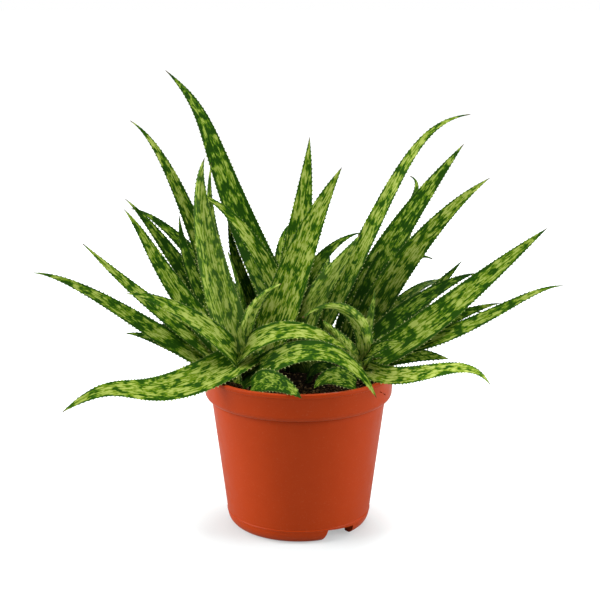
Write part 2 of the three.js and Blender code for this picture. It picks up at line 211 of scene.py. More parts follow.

# Each leaf, in millimetres: its name, the base, rise, reach and tip of the cubic curve along its
# midrib, its width where it is broadest, the degrees it is turned about its midrib, and how light
# its green is, from 0 to 1, partly its own colour and partly painted shade, lower for leaves that lie
# in shade. Most of the curves come from a fit made outside this script, and some of their points
# were then moved.
LEAVES = [
    ("left_upright", (-30, -17, 94), (-50, -21, 152), (-64, -28, 213), (-54, -34, 235), 23, -45, 0.62),
    ("left_sliver", (-32, -9, 119), (-33, -6, 142), (-38, -3, 158), (-43, 0, 173), 8, -20, 0.4),
    ("left_inner", (-34, -10, 105), (-53, -2, 137), (-72, 6, 157), (-74, 14, 194), 12.5, 34, 0.3),
    ("left_spotted", (-35, -10, 100), (-88, -6, 160), (-89, -1, 179), (-107, 4, 199), 16, 55, 0.42),
    ("left_streaked", (-36, -12, 98), (-68, -13, 126), (-96, -13, 146), (-130, -14, 181), 13, 50, 0.55),
    ("left_bright", (-35, -15, 98), (-28, -28, 117), (-80, -40, 158), (-100, -52, 158), 15, 70, 0.62),
    ("left_curled", (-32, -14, 112), (-35, -22, 130), (-26, -32, 154), (-10, -42, 162), 9, 36, 0.8),
    ("arch_upper", (-39, -20, 107), (-22, -28, 136), (7, -38, 138), (30, -46, 122), 15, -55, 0.68),
    ("arch_lower", (-39, -22, 90), (-8, -36, 127), (27, -52, 135), (45, -68, 100), 17, -60, 0.55),
    ("left_long", (-39, -13, 97), (-80, -19, 118), (-129, -24, 164), (-158, -30, 166), 13, 60, 0.5),
    ("left_low", (-41, -8, 103), (-67, -7, 108), (-86, -4, 121), (-107, -2, 122), 14, 40, 0.35),
    ("left_sweeping", (-23, -15, 117), (-105, -64, 78), (-88, -84, 130), (-131, -98, 101), 22, 43, 0.65),
    ("back_left_inner", (-28, 23, 106), (-28, 22, 136), (-42, 21, 161), (-44, 20, 189), 13, 70, 0.4),
    ("back_left_upright", (-30, 21, 100), (-44, 16, 141), (-60, 12, 191), (-53, 8, 227), 10, -50, 0.5),
    ("back_left_side", (-30, 24, 98), (-66, 25, 141), (-90, 25, 186), (-109, 26, 202), 15, 60, 0.3),
    ("back_left_tall", (-33, 26, 94), (-60, 33, 157), (-79, 39, 233), (-107, 45, 249), 15, 50, 0.55),
    ("back_left_far", (-33, 28, 92), (-35, 39, 131), (-83, 51, 187), (-110, 62, 190), 14, 45, 0.2),
    ("back_left_low", (-34, 22, 92), (-65, 16, 106), (-78, 10, 128), (-96, 4, 124), 13, 50, 0.3),
    ("centre_channelled", (-26, -12, 102), (-10, -10, 134), (1, -9, 185), (26, -14, 227), 24, -85, 0.8),
    ("centre_upright", (2, 11, 95), (-12, 20, 142), (3, 28, 172), (7, 34, 240), 22, -5, 0.65),
    ("centre_arching", (6, 9, 100), (-15, 18, 117), (6, 26, 173), (40, 34, 179), 14, -40, 0.35),
    ("centre_broad", (8, 0, 94), (-11, -6, 122), (10, -11, 146), (37, -18, 187), 20, 50, 0.6),
    ("centre_tallest", (6, 12, 100), (-65, 25, 236), (-46, 41, 246), (-85, 56, 280), 22, 45, 0.35),
    ("centre_curved", (-6, 4, 96), (8, 2, 116), (-31, -1, 205), (-63, -4, 209), 15, 70, 0.62),
    ("centre_ribbon", (6, 16, 100), (63, 18, 218), (69, 19, 250), (106, 20, 255), 14, -55, 0.6),
    ("centre_behind", (0, 16, 94), (-12, 33, 139), (-15, 50, 174), (-4, 66, 180), 18, 0, 0.4),
    ("back_right_hooked", (31, 27, 106), (53, 43, 172), (90, 58, 205), (73, 74, 210), 13, -30, 0.35),
    ("back_right_dark", (33, 28, 96), (28, 37, 130), (75, 48, 196), (107, 58, 233), 22, -45, 0.4),
    ("back_right_tall", (36, 25, 94), (39, 28, 125), (83, 31, 190), (121, 34, 214), 20, -60, 0.62),
    ("back_right_short", (36, 28, 92), (42, 36, 123), (68, 44, 171), (88, 52, 158), 12, -45, 0.3),
    ("back_right_broad", (34, 32, 92), (44, 49, 130), (62, 67, 140), (78, 84, 177), 13, -30, 0.15),
    ("right_thin", (44, -14, 106), (37, -15, 117), (45, -17, 135), (46, -18, 153), 7, 30, 0.5),
    ("right_dark", (45, -7, 104), (33, -3, 118), (98, 4, 160), (111, 10, 157), 14, -50, 0.2),
    ("right_rising", (47, -4, 101), (47, 5, 112), (72, 17, 129), (104, 28, 162), 13, -45, 0.3),
    ("right_hooked", (38, -15, 102), (48, -27, 137), (22, -40, 159), (2, -52, 144), 11, -50, 0.75),
    ("right_pale", (37, -15, 100), (33, -23, 116), (23, -32, 127), (14, -40, 140), 12, -50, 0.7),
    ("right_big", (41, -16, 107), (68, -15, 117), (116, -12, 163), (150, -12, 190), 19, -60, 0.52),
    ("right_short", (39, -20, 111), (46, -25, 119), (55, -30, 124), (63, -34, 124), 8, -60, 0.45),
    ("right_middle", (45, -5, 107), (76, -7, 124), (106, -7, 140), (124, -6, 142), 12, -55, 0.4),
    ("right_long", (44, -12, 112), (104, -18, 120), (134, -27, 158), (157, -34, 159), 11, -60, 0.5),
    ("right_flat", (53, -8, 105), (63, -8, 110), (75, -8, 111), (93, -8, 107), 11, -60, 0.4),
    ("right_sweeping", (41, -20, 104), (67, -46, 96), (95, -72, 134), (106, -96, 116), 12, -60, 0.8),
    ("front_dark", (4, -16, 91), (6, -26, 108), (18, -34, 112), (28, -38, 105), 13, -40, 0.15),
    ("pup_left", (-28, -38, 97), (-22, -44, 107), (-8, -54, 107), (2, -65, 99), 15, -60, 0.35),
    ("pup_right", (34, -38, 99), (28, -42, 107), (14, -47, 110), (9, -52, 101), 14, 60, 0.35),
    ("rear_left_far", (-36, 27, 94), (-58, 44, 126), (-74, 64, 138), (-86, 80, 116), 14, 10, 0.45),
    ("rear_left_mid", (-30, 32, 93), (-41, 56, 137), (-52, 82, 151), (-62, 98, 127), 15, 16, 0.6),
    ("rear_left_up", (-25, 31, 98), (-26, 50, 140), (-28, 72, 158), (-30, 94, 166), 16, 0, 0.4),
    ("rear_centre_low", (-8, 15, 92), (-12, 50, 132), (-14, 84, 130), (-16, 101, 104), 15, 0, 0.65),
    ("rear_centre_up", (9, 17, 97), (15, 46, 143), (17, 71, 158), (21, 96, 155), 16, -7, 0.5),
    ("rear_right_low", (28, 33, 93), (31, 57, 127), (41, 86, 130), (48, 99, 107), 15, -8, 0.6),
    ("rear_right_far", (36, 27, 94), (62, 46, 130), (84, 66, 148), (108, 78, 136), 14, -10, 0.5),
    ("rear_right_side", (47, -1, 98), (70, 20, 126), (96, 40, 134), (122, 50, 122), 13, -20, 0.45),
]


# ---- Making by hand -------------------------------------------------------------------------


def deselect():
    bpy.ops.object.select_all(action="DESELECT")


def only(piece):
    """Selects one piece alone and makes it the active one."""
    deselect()
    piece.select_set(True)
    bpy.context.view_layer.objects.active = piece


def edit_all(piece):
    only(piece)
    bpy.ops.object.mode_set(mode="EDIT")
    bpy.ops.mesh.select_all(action="SELECT")


def close_seams(piece, reach):
    """Merges what touches and turns the faces outwards."""
    edit_all(piece)
    bpy.ops.mesh.remove_doubles(threshold=reach)
    bpy.ops.mesh.normals_make_consistent(inside=False)
    bpy.ops.object.mode_set(mode="OBJECT")


def smooth(piece, degrees):
    only(piece)
    bpy.ops.object.shade_smooth_by_angle(angle=math.radians(degrees))


def settle(piece):
    """Leaves the piece's object at the origin, with its place in its mesh."""
    only(piece)
    bpy.ops.object.transform_apply(location=True, rotation=True, scale=True)


def use_modifier(piece, kind, **values):
    only(piece)
    modifier = piece.modifiers.new(kind.lower(), kind)
    for key, value in values.items():
        setattr(modifier, key, value)
    bpy.ops.object.modifier_apply(modifier=modifier.name)


def cut(piece, cutter):
    use_modifier(piece, "BOOLEAN", operation="DIFFERENCE", solver="EXACT", object=cutter)
    bpy.data.objects.remove(cutter)


def finish_piece(piece, material, nodes):
    piece.data.materials.clear()
    piece.data.materials.append(material)
    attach(piece, "root")
    if nodes:
        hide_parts(*nodes)


def arc(centre, radius, start, end, steps):
    """Points of a round stretch of an outline, by angle in degrees in the plane of radius and height."""
    angles = [math.radians(start + (end - start) * i / steps) for i in range(steps + 1)]
    return [(centre[0] + radius * math.cos(a), centre[1] + radius * math.sin(a)) for a in angles]


def turned(name, outline, steps):
    """A turned piece: an outline in millimetres, from axis to axis, drawn by extruding and then spun."""
    deselect()
    bpy.ops.mesh.primitive_plane_add(size=MM)
    piece = bpy.context.object
    piece.name = name
    edit_all(piece)
    bpy.ops.mesh.merge(type="CENTER")
    bpy.ops.transform.translate(value=(outline[0][0] * MM, 0, outline[0][1] * MM))
    for (r0, z0), (r1, z1) in zip(outline, outline[1:]):
        step = ((r1 - r0) * MM, 0, (z1 - z0) * MM)
        bpy.ops.mesh.extrude_region_move(TRANSFORM_OT_translate={"value": step})
    bpy.ops.mesh.select_all(action="SELECT")
    bpy.ops.mesh.spin(steps=steps, angle=TURN, center=(0, 0, 0), axis=(0, 0, 1))
    bpy.ops.object.mode_set(mode="OBJECT")
    close_seams(piece, 0.01 * MM)
    return piece


# ---- Nodes ----------------------------------------------------------------------------------


def add(tree, kind, inputs=None, **settings):
    """A node with its settings, and its inputs given as values or as sockets to join."""
    made = tree.nodes.new(kind)
    for key, value in settings.items():
        setattr(made, key, value)
    for key, value in (inputs or {}).items():
        if isinstance(value, bpy.types.NodeSocket):
            tree.links.new(value, made.inputs[key])
        else:
            made.inputs[key].default_value = value
    return made


def calc(tree, operation, first, second=0.0):
    return add(tree, "ShaderNodeMath", {0: first, 1: second}, operation=operation).outputs[0]


def span(tree, value, low, high, to_low=0.0, to_high=1.0):
    """Eases a value from one range to another and holds it there."""
    inputs = {"Value": value, "From Min": low, "From Max": high, "To Min": to_low, "To Max": to_high}
    return add(tree, "ShaderNodeMapRange", inputs, interpolation_type="SMOOTHSTEP").outputs[0]


def blend(tree, share, first, second):
    """One colour, changed to another by a share."""
    return add(tree, "ShaderNodeMix", {0: share, 6: first, 7: second}, data_type="RGBA").outputs[2]


def stretched_noise(tree, vector, size, detail=2.0, seed=0.0):
    """Noise whose grain measures size, in millimetres, along each axis."""
    scale = [1 / (length * MM) for length in size]
    placed = add(tree, "ShaderNodeMapping", {"Vector": vector, "Scale": scale, "Location": (0, 0, seed)})
    inputs = {"Vector": placed.outputs[0], "Scale": 1.0, "Detail": detail, "Roughness": 0.6}
    return add(tree, "ShaderNodeTexNoise", inputs).outputs[0]


def new_group(name, inputs, outputs):
    """A node group with named sockets: name to value for numbers, or to None for a vector."""
    group = bpy.data.node_groups.new(name, "ShaderNodeTree")
    for key, value in inputs.items():
        kind = "NodeSocketVector" if value is None else "NodeSocketFloat"
        socket = group.interface.new_socket(name=key, in_out="INPUT", socket_type=kind)
        if value is not None:
            socket.default_value = value
    for key in outputs:
        group.interface.new_socket(name=key, in_out="OUTPUT", socket_type="NodeSocketFloat")
    return group, group.nodes.new("NodeGroupInput").outputs, group.nodes.new("NodeGroupOutput").inputs


def mottle_group():
    """Blotches and streaks drawn out along a leaf: how light each is, and a fine relief."""
    inputs = {"Vector": None, "Edge": 0.0, "Share": 0.5, "Tone": 0.5}
    group, given, out = new_group("mottle", inputs, ["Light", "Fleck", "Relief"])

    def swing(value, amount):
        return calc(group, "MULTIPLY", calc(group, "SUBTRACT", value, 0.5), amount)

    blotch = stretched_noise(group, given["Vector"], (3.6, 9.0, 1), 2.0, 2.0)
    ragged = stretched_noise(group, given["Vector"], (1.3, 4.0, 1), 2.0, 9.0)
    streak = stretched_noise(group, given["Vector"], (0.9, 8.0, 1), 2.0, 17.0)
    band = stretched_noise(group, given["Vector"], (26, 10, 1), 1.0, 31.0)
    level = calc(group, "ADD", blotch, swing(ragged, 0.55))
    level = calc(group, "ADD", level, swing(band, 0.5))
    streaky = calc(group, "MULTIPLY", swing(streak, 0.7), calc(group, "ADD", given["Tone"], 0.35))
    level = calc(group, "ADD", level, streaky)
    rim = span(group, given["Edge"], 0.66, 0.93, 0.0, -0.17)
    base = span(group, given["Share"], 0.02, 0.5, -0.03, 0.0)
    tone = span(group, given["Tone"], 0.0, 1.0, -0.06, 0.11)
    level = calc(group, "ADD", calc(group, "ADD", level, rim), calc(group, "ADD", base, tone))
    group.links.new(span(group, level, 0.34, 0.76), out["Light"])
    group.links.new(span(group, streak, 0.36, 0.64), out["Fleck"])
    group.links.new(calc(group, "ADD", ragged, calc(group, "MULTIPLY", streak, 0.5)), out["Relief"])
    return group


def grain_group():
    """A coarse and a fine grain, for soil, bark and plastic."""
    group, given, out = new_group("grain", {"Vector": None, "Size": 1.0}, ["Coarse", "Fine"])
    scaled = add(group, "ShaderNodeVectorMath", {0: given["Vector"]}, operation="DIVIDE")
    group.links.new(given["Size"], scaled.inputs[1])
    group.links.new(stretched_noise(group, scaled.outputs[0], (6, 6, 6), 4.0), out["Coarse"])
    group.links.new(stretched_noise(group, scaled.outputs[0], (0.8, 0.8, 0.8), 3.0, 5.0), out["Fine"])
    return group


def whereabouts_group():
    """How far a point is from the pot's axis, how high it is, and how far back."""
    group, given, out = new_group("whereabouts", {"Vector": None}, ["Radius", "Height", "Back"])
    parts = add(group, "ShaderNodeSeparateXYZ", {0: given["Vector"]}).outputs
    flat = add(group, "ShaderNodeVectorMath", {0: given["Vector"], 1: (1, 1, 0)}, operation="MULTIPLY")
    radius = add(group, "ShaderNodeVectorMath", {0: flat.outputs[0]}, operation="LENGTH")
    group.links.new(radius.outputs["Value"], out["Radius"])
    group.links.new(parts[2], out["Height"])
    group.links.new(parts[1], out["Back"])
    return group


def new_material(name, **surface):
    """A material with its shader, whose even values are set on the shader's own sockets."""
    material = bpy.data.materials.new(name)
    material.use_nodes = True
    tree = material.node_tree
    shader = tree.nodes["Principled BSDF"]
    for key, value in surface.items():
        shader.inputs[key.replace("_", " ")].default_value = value
    return material, tree, shader


def bump(tree, shader, height, depth, strength=1.0):
    inputs = {"Height": height, "Distance": depth * MM, "Strength": strength}
    tree.links.new(add(tree, "ShaderNodeBump", inputs).outputs[0], shader.inputs["Normal"])


def place_of(tree):
    return add(tree, "ShaderNodeTexCoord").outputs["Object"]


def leaf_material(mottle, whereabouts):
    """Blotched green, with pale teeth and margins, a dry tip, and shade deep in the clump."""
    material, tree, shader = new_material("spotted_leaf", Roughness=0.4, Specular_IOR_Level=0.015)
    surface = add(tree, "ShaderNodeUVMap", uv_map="blade").outputs[0]
    spot = add(tree, "ShaderNodeAttribute", attribute_name="place").outputs["Vector"]
    share, edge, under = add(tree, "ShaderNodeSeparateXYZ", {0: spot}).outputs
    # A leaf's tone sets how light its green is: partly its own colour and partly painted shade.
    tone = add(tree, "ShaderNodeAttribute", attribute_name="tone").outputs["Fac"]
    tooth = add(tree, "ShaderNodeAttribute", attribute_name="tooth").outputs["Fac"]
    made = add(tree, "ShaderNodeGroup", node_tree=mottle)
    for key, socket in {"Vector": surface, "Edge": edge, "Share": share, "Tone": tone}.items():
        tree.links.new(socket, made.inputs[key])
    light, fleck, relief = made.outputs

    patch, middle, ground, streaked = [blend(tree, tone, *pair) for pair in (PATCH, MIDDLE, GROUND, STREAK)]
    upper = blend(tree, span(tree, light, 0.08, 0.26), patch, middle)
    upper = blend(tree, span(tree, light, 0.30, 0.46), upper, ground)
    flecked = calc(tree, "MULTIPLY", span(tree, fleck, 0.3, 0.8), span(tree, light, 0.42, 0.62, 0.0, 0.75))
    pale = calc(tree, "MAXIMUM", span(tree, light, 0.75, 1.0), flecked)
    upper = blend(tree, pale, upper, streaked)
    dark = calc(tree, "MULTIPLY", span(tree, fleck, 0.05, 0.45, 0.4, 0.0), span(tree, light, 0.30, 0.5))
    upper = blend(tree, dark, upper, middle)
    face = blend(tree, under, upper, blend(tree, 0.1, upper, UNDERSIDE))
    horny = calc(tree, "MULTIPLY", span(tree, edge, 0.965, 0.995), 0.35)
    margin = blend(tree, horny, face, HORNY_EDGE)

    made = add(tree, "ShaderNodeGroup", {"Vector": place_of(tree)}, node_tree=whereabouts)
    radius, height, back = made.outputs
    low = span(tree, height, *DEEP_HEIGHT, 1.0, 0.0)
    deep = calc(tree, "MULTIPLY", low, span(tree, radius, *DEEP_RADIUS, 0.8, 0.0))
    behind = span(tree, back, *BEHIND_BACK)
    behind = calc(tree, "MULTIPLY", behind, span(tree, height, *BEHIND_HEIGHT, 0.55, 0.0))
    shaded = blend(tree, calc(tree, "MAXIMUM", deep, behind), margin, IN_SHADE)
    teeth = blend(tree, span(tree, tooth, 0.15, 0.6), shaded, TOOTH_COLOUR)
    dry = blend(tree, span(tree, share, 0.97, 0.995), teeth, DRY_TIP)
    tree.links.new(dry, shader.inputs["Base Color"])
    tree.links.new(span(tree, relief, 0.4, 1.1, 0.52, 0.36), shader.inputs["Roughness"])
    bump(tree, shader, relief, 0.12)
    return material


def stem_material(mottle):
    material, tree, shader = new_material("leafy_stem", Roughness=0.6)
    made = add(tree, "ShaderNodeGroup", {"Vector": place_of(tree), "Tone": 0.7}, node_tree=mottle)
    colour = blend(tree, made.outputs["Light"], *STEM_GREENS)
    tree.links.new(colour, shader.inputs["Base Color"])
    bump(tree, shader, made.outputs["Relief"], 0.3)
    return material


def pot_material(grain, whereabouts):
    surface = {"Roughness": 0.4, "Specular_IOR_Level": 0.1, "Sheen_Weight": 0.07, "Sheen_Tint": WARM_SHEEN}
    material, tree, shader = new_material("terracotta_plastic", **surface)
    place = place_of(tree)
    made = add(tree, "ShaderNodeGroup", {"Vector": place, "Size": 1.5}, node_tree=grain)
    coarse, fine = made.outputs
    colour = blend(tree, coarse, *CLAY)
    dust = calc(tree, "MULTIPLY", span(tree, fine, 0.56, 0.75), 0.06)
    colour = blend(tree, dust, colour, CLAY_DUST)
    made = add(tree, "ShaderNodeGroup", {"Vector": place}, node_tree=whereabouts)
    height = made.outputs["Height"]
    # Painted shade under the collar: darkest at the collar's underside, fading over 3.5 mm down the wall.
    below = span(tree, height, (COLLAR_BOTTOM - 3.5) * MM, COLLAR_BOTTOM * MM)
    above = span(tree, height, (COLLAR_BOTTOM + 0.1) * MM, (COLLAR_BOTTOM + 1) * MM, 1.0, 0.0)
    collar_shade = calc(tree, "MULTIPLY", calc(tree, "MULTIPLY", below, above), 0.2)
    tree.links.new(blend(tree, collar_shade, colour, PAINTED_COLLAR_SHADE), shader.inputs["Base Color"])
    tree.links.new(span(tree, coarse, 0.3, 0.7, 0.34, 0.46), shader.inputs["Roughness"])
    bump(tree, shader, fine, 0.03)
    return material


def soil_material(name, grain, whereabouts, dark, brown, size):
    """Peat, or a loose bit of it, with shade painted on it towards the middle of the clump."""
    material, tree, shader = new_material(name, Roughness=0.95, Specular_IOR_Level=0.05)
    place = place_of(tree)
    made = add(tree, "ShaderNodeGroup", {"Vector": place, "Size": size}, node_tree=grain)
    coarse, fine = made.outputs
    mixed = calc(tree, "MULTIPLY", span(tree, coarse, 0.35, 0.65, 0.3, 1.0), span(tree, fine, 0.42, 0.66))
    made = add(tree, "ShaderNodeGroup", {"Vector": place}, node_tree=whereabouts)
    # Painted shade on the soil under the clump, darkest near the stems.
    soil_shade = span(tree, made.outputs["Radius"], *SOIL_SHADE_RADIUS, 0.8, 0.0)
    colour = blend(tree, soil_shade, blend(tree, mixed, dark, brown), SOIL_PAINTED_SHADE)
    tree.links.new(colour, shader.inputs["Base Color"])
    bump(tree, shader, fine, 0.8)
    return material


# ---- Leaves ---------------------------------------------------------------------------------


def ease(values, low, high):
    share = np.clip((values - low) / (high - low), 0, 1)
    return share * share * (3 - 2 * share)


def unit(vectors):
    return vectors / np.linalg.norm(vectors, axis=-1, keepdims=True)


def curve_at(points, shares):
    """Points and directions of a cubic curve at shares of its length, and that length."""
    t = np.linspace(0, 1, 401)[:, None]
    p0, p1, p2, p3 = [np.array(p, float) for p in points]
    line = (1 - t) ** 3 * p0 + 3 * t * (1 - t) ** 2 * p1 + 3 * t * t * (1 - t) * p2 + t**3 * p3
    slope = 3 * (1 - t) ** 2 * (p1 - p0) + 6 * t * (1 - t) * (p2 - p1) + 3 * t * t * (p3 - p2)
    run = np.concatenate([[0], np.cumsum(np.linalg.norm(np.diff(line, axis=0), axis=1))])
    here = np.interp(shares * run[-1], run, t[:, 0])
    at = np.stack([np.interp(here, t[:, 0], line[:, k]) for k in range(3)], axis=1)
    along = np.stack([np.interp(here, t[:, 0], slope[:, k]) for k in range(3)], axis=1)
    return at, unit(along), run[-1]


def blade_axes(points, roll, shares):
    """Along each share of a leaf: its point, and the directions along, across and out of the upper face."""
    at, along, length = curve_at(points, shares)
    base, tip = points[0], points[3]
    across = unit(np.array([base[1] - tip[1], tip[0] - base[0], 0.0]))
    side = unit(across - along * (along @ across)[:, None])
    turn = BASE_TURN + (1 - BASE_TURN) * ease(shares, 0, TURN_END)
    angle = -math.radians(roll) * turn[:, None]
    side = side * np.cos(angle) + np.cross(along, side) * np.sin(angle)
    return at, along, side, unit(np.cross(along, side)), length


def half_width(shares, width):
    spread = BASE_NARROW + (1 - BASE_NARROW) * ease(shares, 0, BASE_SPREAD_END)
    return width / 2 * spread * (1 - shares**TAPER)


def ring_places():
    """Round a blade from its keel and back: how far across, from -1 to 1, and whether on the underside."""
    quarter = RING // 4
    lower = [-math.sin(math.pi / 2 * i / quarter) for i in range(quarter)]
    upper = [-math.cos(math.pi * i / (2 * quarter)) for i in range(2 * quarter + 1)]
    under = [1] * quarter + [0] * (2 * quarter + 1) + [1] * quarter
    return np.array(lower + upper + [-x for x in reversed(lower)]), np.array(under)


def blade_stations(length, draw):
    """Shares of the length where a blade has a ring, four to a tooth, and each ring's teeth."""
    teeth = int(length / TOOTH_STEP)
    stations, left, right = [], [], []
    for i in range(teeth):
        start = (i + 0.2 * draw.random()) / teeth
        for k, part in enumerate((0.05, 0.3, 0.55, 0.8)):
            stations.append(start + part / teeth)
            left.append(draw.uniform(0.45, 1.15) if k == 1 else 0)
            right.append(draw.uniform(0.45, 1.15) if k == 3 else 0)
    keep = [i for i, share in enumerate(stations) if share < 0.995]
    return [np.array([row[i] for i in keep]) for row in (stations, left, right)]


def blade_mesh(points, width, roll, draw):
    """The places of a blade's grid, row by row, with what its material reads at each."""
    length = curve_at(points, np.array([1.0]))[2]
    shares, left, right = blade_stations(length, draw)
    at, along, side, up, length = blade_axes(points, roll, shares)
    half = half_width(shares, width)
    thick = TIP_THICK + (LEAF_THICK * min(1, width / FULL_WIDTH) - TIP_THICK) * (1 - shares)
    dip = CHANNEL * half * (1 - shares)
    x, under = ring_places()
    middle = (MIDRIB_IN * thick)[:, None]
    top = middle + dip[:, None] * (2 * np.abs(x) ** 1.5 - 1)
    keel = middle + dip[:, None] - (thick + 1.5 * dip)[:, None] * (1 - x * x)
    y = np.where(under > 0, keel, top)
    tooth = np.where(x <= -1, left[:, None], 0) + np.where(x >= 1, right[:, None], 0)
    tooth = tooth * (1 - 0.6 * shares[:, None]) * np.minimum(1, half / 2)[:, None]
    out = half[:, None] * x + np.sign(x) * TOOTH_H * tooth
    rows = at[:, None] + side[:, None] * out[..., None] + up[:, None] * y[..., None]
    rows = rows + along[:, None] * (TOOTH_SWEEP * tooth)[..., None]
    count = len(x)
    ends = curve_at(points, np.array([0.0, 1.0]))[0]
    rows = np.concatenate([np.tile(at[0], (1, count, 1)), rows, np.tile(ends[1], (1, count, 1))])
    shares = np.concatenate([[0], shares, [1]])
    half = np.concatenate([[half[0]], half, [0]])
    tooth = np.concatenate([np.zeros((1, count)), tooth, np.zeros((1, count))])
    finer = min(FINEST, max(1, FINE_LENGTH / length))
    sheet = np.stack([half[:, None] * x, np.tile(shares[:, None] * length, (1, count))], axis=-1) * finer
    spots = np.stack(np.broadcast_arrays(shares[:, None], np.abs(x), under), axis=-1)
    return rows, sheet, spots, tooth


def set_values(mesh, name, kind, values):
    layer = mesh.attributes.new(name, kind, "POINT")
    field = "vector" if kind == "FLOAT_VECTOR" else "value"
    layer.data.foreach_set(field, np.ascontiguousarray(values, dtype=np.float32).ravel())


def blade(leaf, number, material):
    name, base, rise, reach, tip, width, roll, tone = leaf
    draw = random.Random(number)
    rows, sheet, spots, tooth = blade_mesh((base, rise, reach, tip), width, roll, draw)
    deselect()
    bpy.ops.mesh.primitive_grid_add(x_subdivisions=RING, y_subdivisions=len(rows) - 1, size=1)
    piece = bpy.context.object
    piece.name = f"blade_{name}"
    mesh = piece.data
    corner = np.empty(len(mesh.vertices) * 3, dtype=np.float32)
    mesh.vertices.foreach_get("co", corner)
    corner = corner.reshape(-1, 3) + 0.5
    column = np.rint(corner[:, 0] * RING).astype(int)
    row = np.rint(corner[:, 1] * (len(rows) - 1)).astype(int)
    mesh.vertices.foreach_set("co", (rows[row, column] * MM).astype(np.float32).ravel())
    set_values(mesh, "place", "FLOAT_VECTOR", spots[row, column])
    set_values(mesh, "tooth", "FLOAT", tooth[row, column])
    set_values(mesh, "tone", "FLOAT", np.full(len(row), tone))
    loops = np.empty(len(mesh.loops), dtype=np.int32)
    mesh.loops.foreach_get("vertex_index", loops)
    flat = (sheet * MM + (0.05 * number, 0.31 * number))[row, column][loops]
    layer = mesh.uv_layers.active
    layer.name = "blade"
    layer.data.foreach_set("uv", flat.astype(np.float32).ravel())
    close_seams(piece, 0.002 * MM)
    smooth(piece, 50)
    finish_piece(piece, material, [f"leaf_{name}"])


# ---- Pot, soil and stems --------------------------------------------------------------------


def wall_radius(z):
    return FOOT_R + (WALL_TOP_R - FOOT_R) * (z - FOOT_H) / (COLLAR_BOTTOM - FOOT_H)


def pot_outline():
    panel_top = PANEL_Z + WALL
    ring_in = FOOT_FLAT_R - FOOT_RING_W
    foot = [
        (FOOT_FLAT_R + (FOOT_R - FOOT_FLAT_R) * math.sin(t), FOOT_H * (1 - math.cos(t)))
        for t in [math.pi / 2 * i / 10 for i in range(11)]
    ]
    raised = [
        (FOOT_R + 0.35, FOOT_H + 0.3),
        (FOOT_R + LINE_PROUD, FOOT_H + 0.7),
        (wall_radius(FOOT_H + LINE_H), FOOT_H + LINE_H),
    ]
    wall = [(wall_radius(z), z) for z in np.linspace(FOOT_H + 6, COLLAR_BOTTOM - 1.6, 8)]
    wall.append((wall_radius(COLLAR_BOTTOM) - CREASE, COLLAR_BOTTOM - 0.3))
    collar = arc((COLLAR_R - COLLAR_ROUND, COLLAR_BOTTOM + COLLAR_ROUND), COLLAR_ROUND, -88, 0, 10)
    lip_z = POT_H - LIP_H
    lip = [(RIM_R - LIP_IN, lip_z - LIP_IN), (RIM_R - 0.55, lip_z - 0.3), (RIM_R - 0.1, lip_z - 0.05)]
    top = arc((RIM_R - EDGE_R, POT_H - EDGE_R), EDGE_R, 0, 90, 6)
    back = arc((RIM_R - WALL - EDGE_R / 2, POT_H - EDGE_R), EDGE_R, 90, 180, 6)
    inside = [
        (COLLAR_R - WALL, COLLAR_BOTTOM + COLLAR_ROUND),
        (WALL_TOP_R - WALL, COLLAR_BOTTOM),
        (wall_radius(panel_top + WALL) - WALL, panel_top + WALL),
        (wall_radius(panel_top) - 2 * WALL, panel_top),
        (0, panel_top),
    ]
    under = [
        (0, PANEL_Z),
        (ring_in - 0.4, PANEL_Z),
        (ring_in, PANEL_Z - 0.4),
        (ring_in, 0.3),
        (ring_in + 0.3, 0),
    ]
    return under + foot + raised + wall + collar + lip + top + back + inside


def notch(heading):
    """A slot through the foot ring with one slanted end."""
    deselect()
    bpy.ops.mesh.primitive_cube_add(size=1)
    cutter = bpy.context.object
    depth = FOOT_R - DRAIN_RING_R
    edit_all(cutter)
    bpy.ops.transform.resize(value=(depth * MM, NOTCH_W * MM, (NOTCH_H + 1) * MM))
    middle = (NOTCH_FROM_R + depth / 2, 0, (NOTCH_H - 1) / 2)
    bpy.ops.transform.translate(value=[part * MM for part in middle])
    bpy.ops.object.mode_set(mode="OBJECT")
    for point in cutter.data.vertices:
        if point.co.z > 0:
            point.co.z += (NOTCH_RISE if point.co.y < 0 else 0) * MM
            point.co.y += (NOTCH_SLANT if point.co.y < 0 else -NOTCH_SLANT / 3) * MM
    cutter.matrix_world = Matrix.Rotation(heading, 4, "Z")
    settle(cutter)
    return cutter


def slit(heading, height, length):
    """A thin slanting cut in the outside of the collar."""
    deselect()
    bpy.ops.mesh.primitive_cube_add(size=1)
    cutter = bpy.context.object
    size = Matrix.Diagonal((SLIT_DEPTH * MM, length * MM, SLIT_W * MM, 1))
    place = Matrix.Translation((COLLAR_R * MM, 0, height * MM))
    turn = Matrix.Rotation(math.radians(heading), 4, "Z")
    cutter.data.transform(turn @ place @ Matrix.Rotation(SLIT_TILT, 4, "X") @ size)
    return cutter


def drain_hole(heading):
    """A plain round cutter, standing through the base panel."""
    deselect()
    at = (DRAIN_RING_R * math.cos(heading), DRAIN_RING_R * math.sin(heading), PANEL_Z + WALL / 2)
    bpy.ops.mesh.primitive_cylinder_add(
        vertices=DRAIN_STEPS,
        radius=DRAIN_R * MM,
        depth=4 * WALL * MM,
        location=[part * MM for part in at],
    )
    settle(bpy.context.object)
    return bpy.context.object


def pot(material):
    piece = turned("pot_shell", pot_outline(), POT_STEPS)
    cut(piece, notch(NOTCH_AT))
    cut(piece, notch(NOTCH_AT + math.pi))
    for i in range(DRAIN_COUNT):
        cut(piece, drain_hole(TURN * i / DRAIN_COUNT))
    for heading, height, length in SLITS:
        cut(piece, slit(heading, height, length))
    smooth(piece, 35)
    finish_piece(piece, material, ["pot"])


